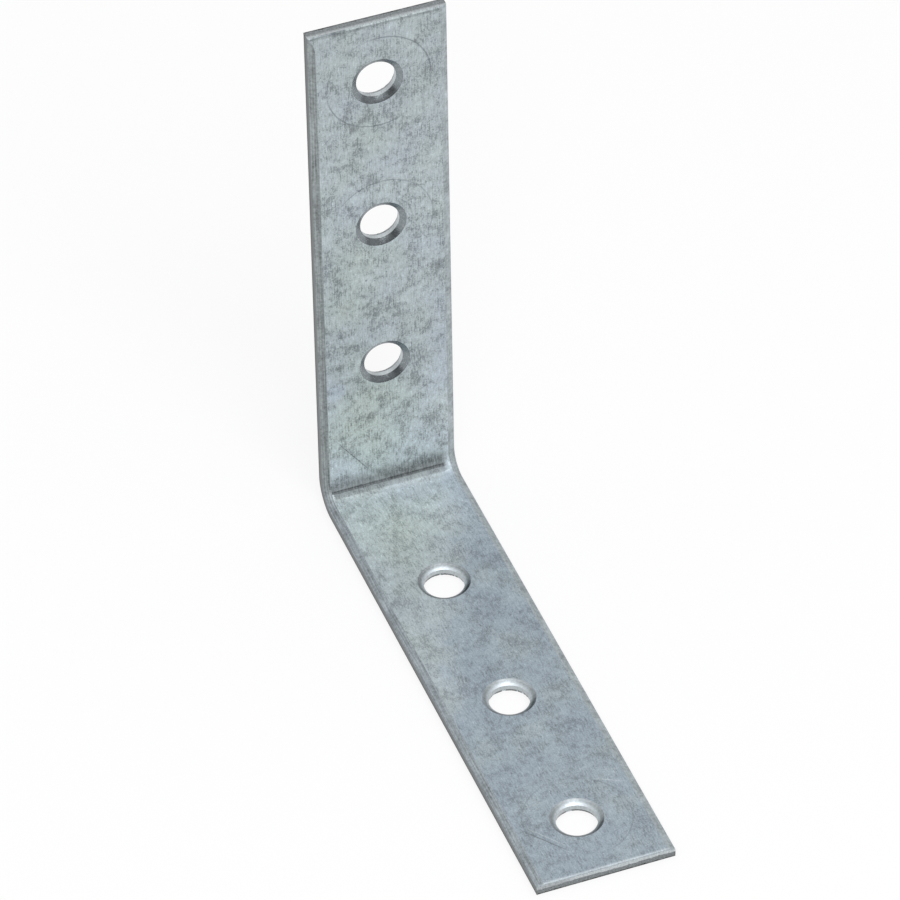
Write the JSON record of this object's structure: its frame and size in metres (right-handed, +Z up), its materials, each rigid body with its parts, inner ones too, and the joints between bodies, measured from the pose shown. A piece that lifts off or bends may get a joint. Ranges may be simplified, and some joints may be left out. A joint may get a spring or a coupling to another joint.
{
  "type": "corner brace bracket",
  "caption": "Right-angle corner brace folded from galvanised steel strip, with a row of countersunk screw holes in each leg, for joining two pieces at a square corner.",
  "frame": {"origin": "middle of the rectangle that the brace stands on, in the outer face of the foot", "axes": "+Z up along the upright leg, +Y from the foot's free end towards the upright's outer face, +X across the strip"},
  "size_m": [0.024, 0.1014, 0.1014],
  "materials": {
    "galvanised_steel": "galvanised, dull light grey with cloudy mottling, fine rolling lines and handling marks"
  },
  "bodies": {
    "root": {"brace": "galvanised_steel"}
  },
  "joints": []
}
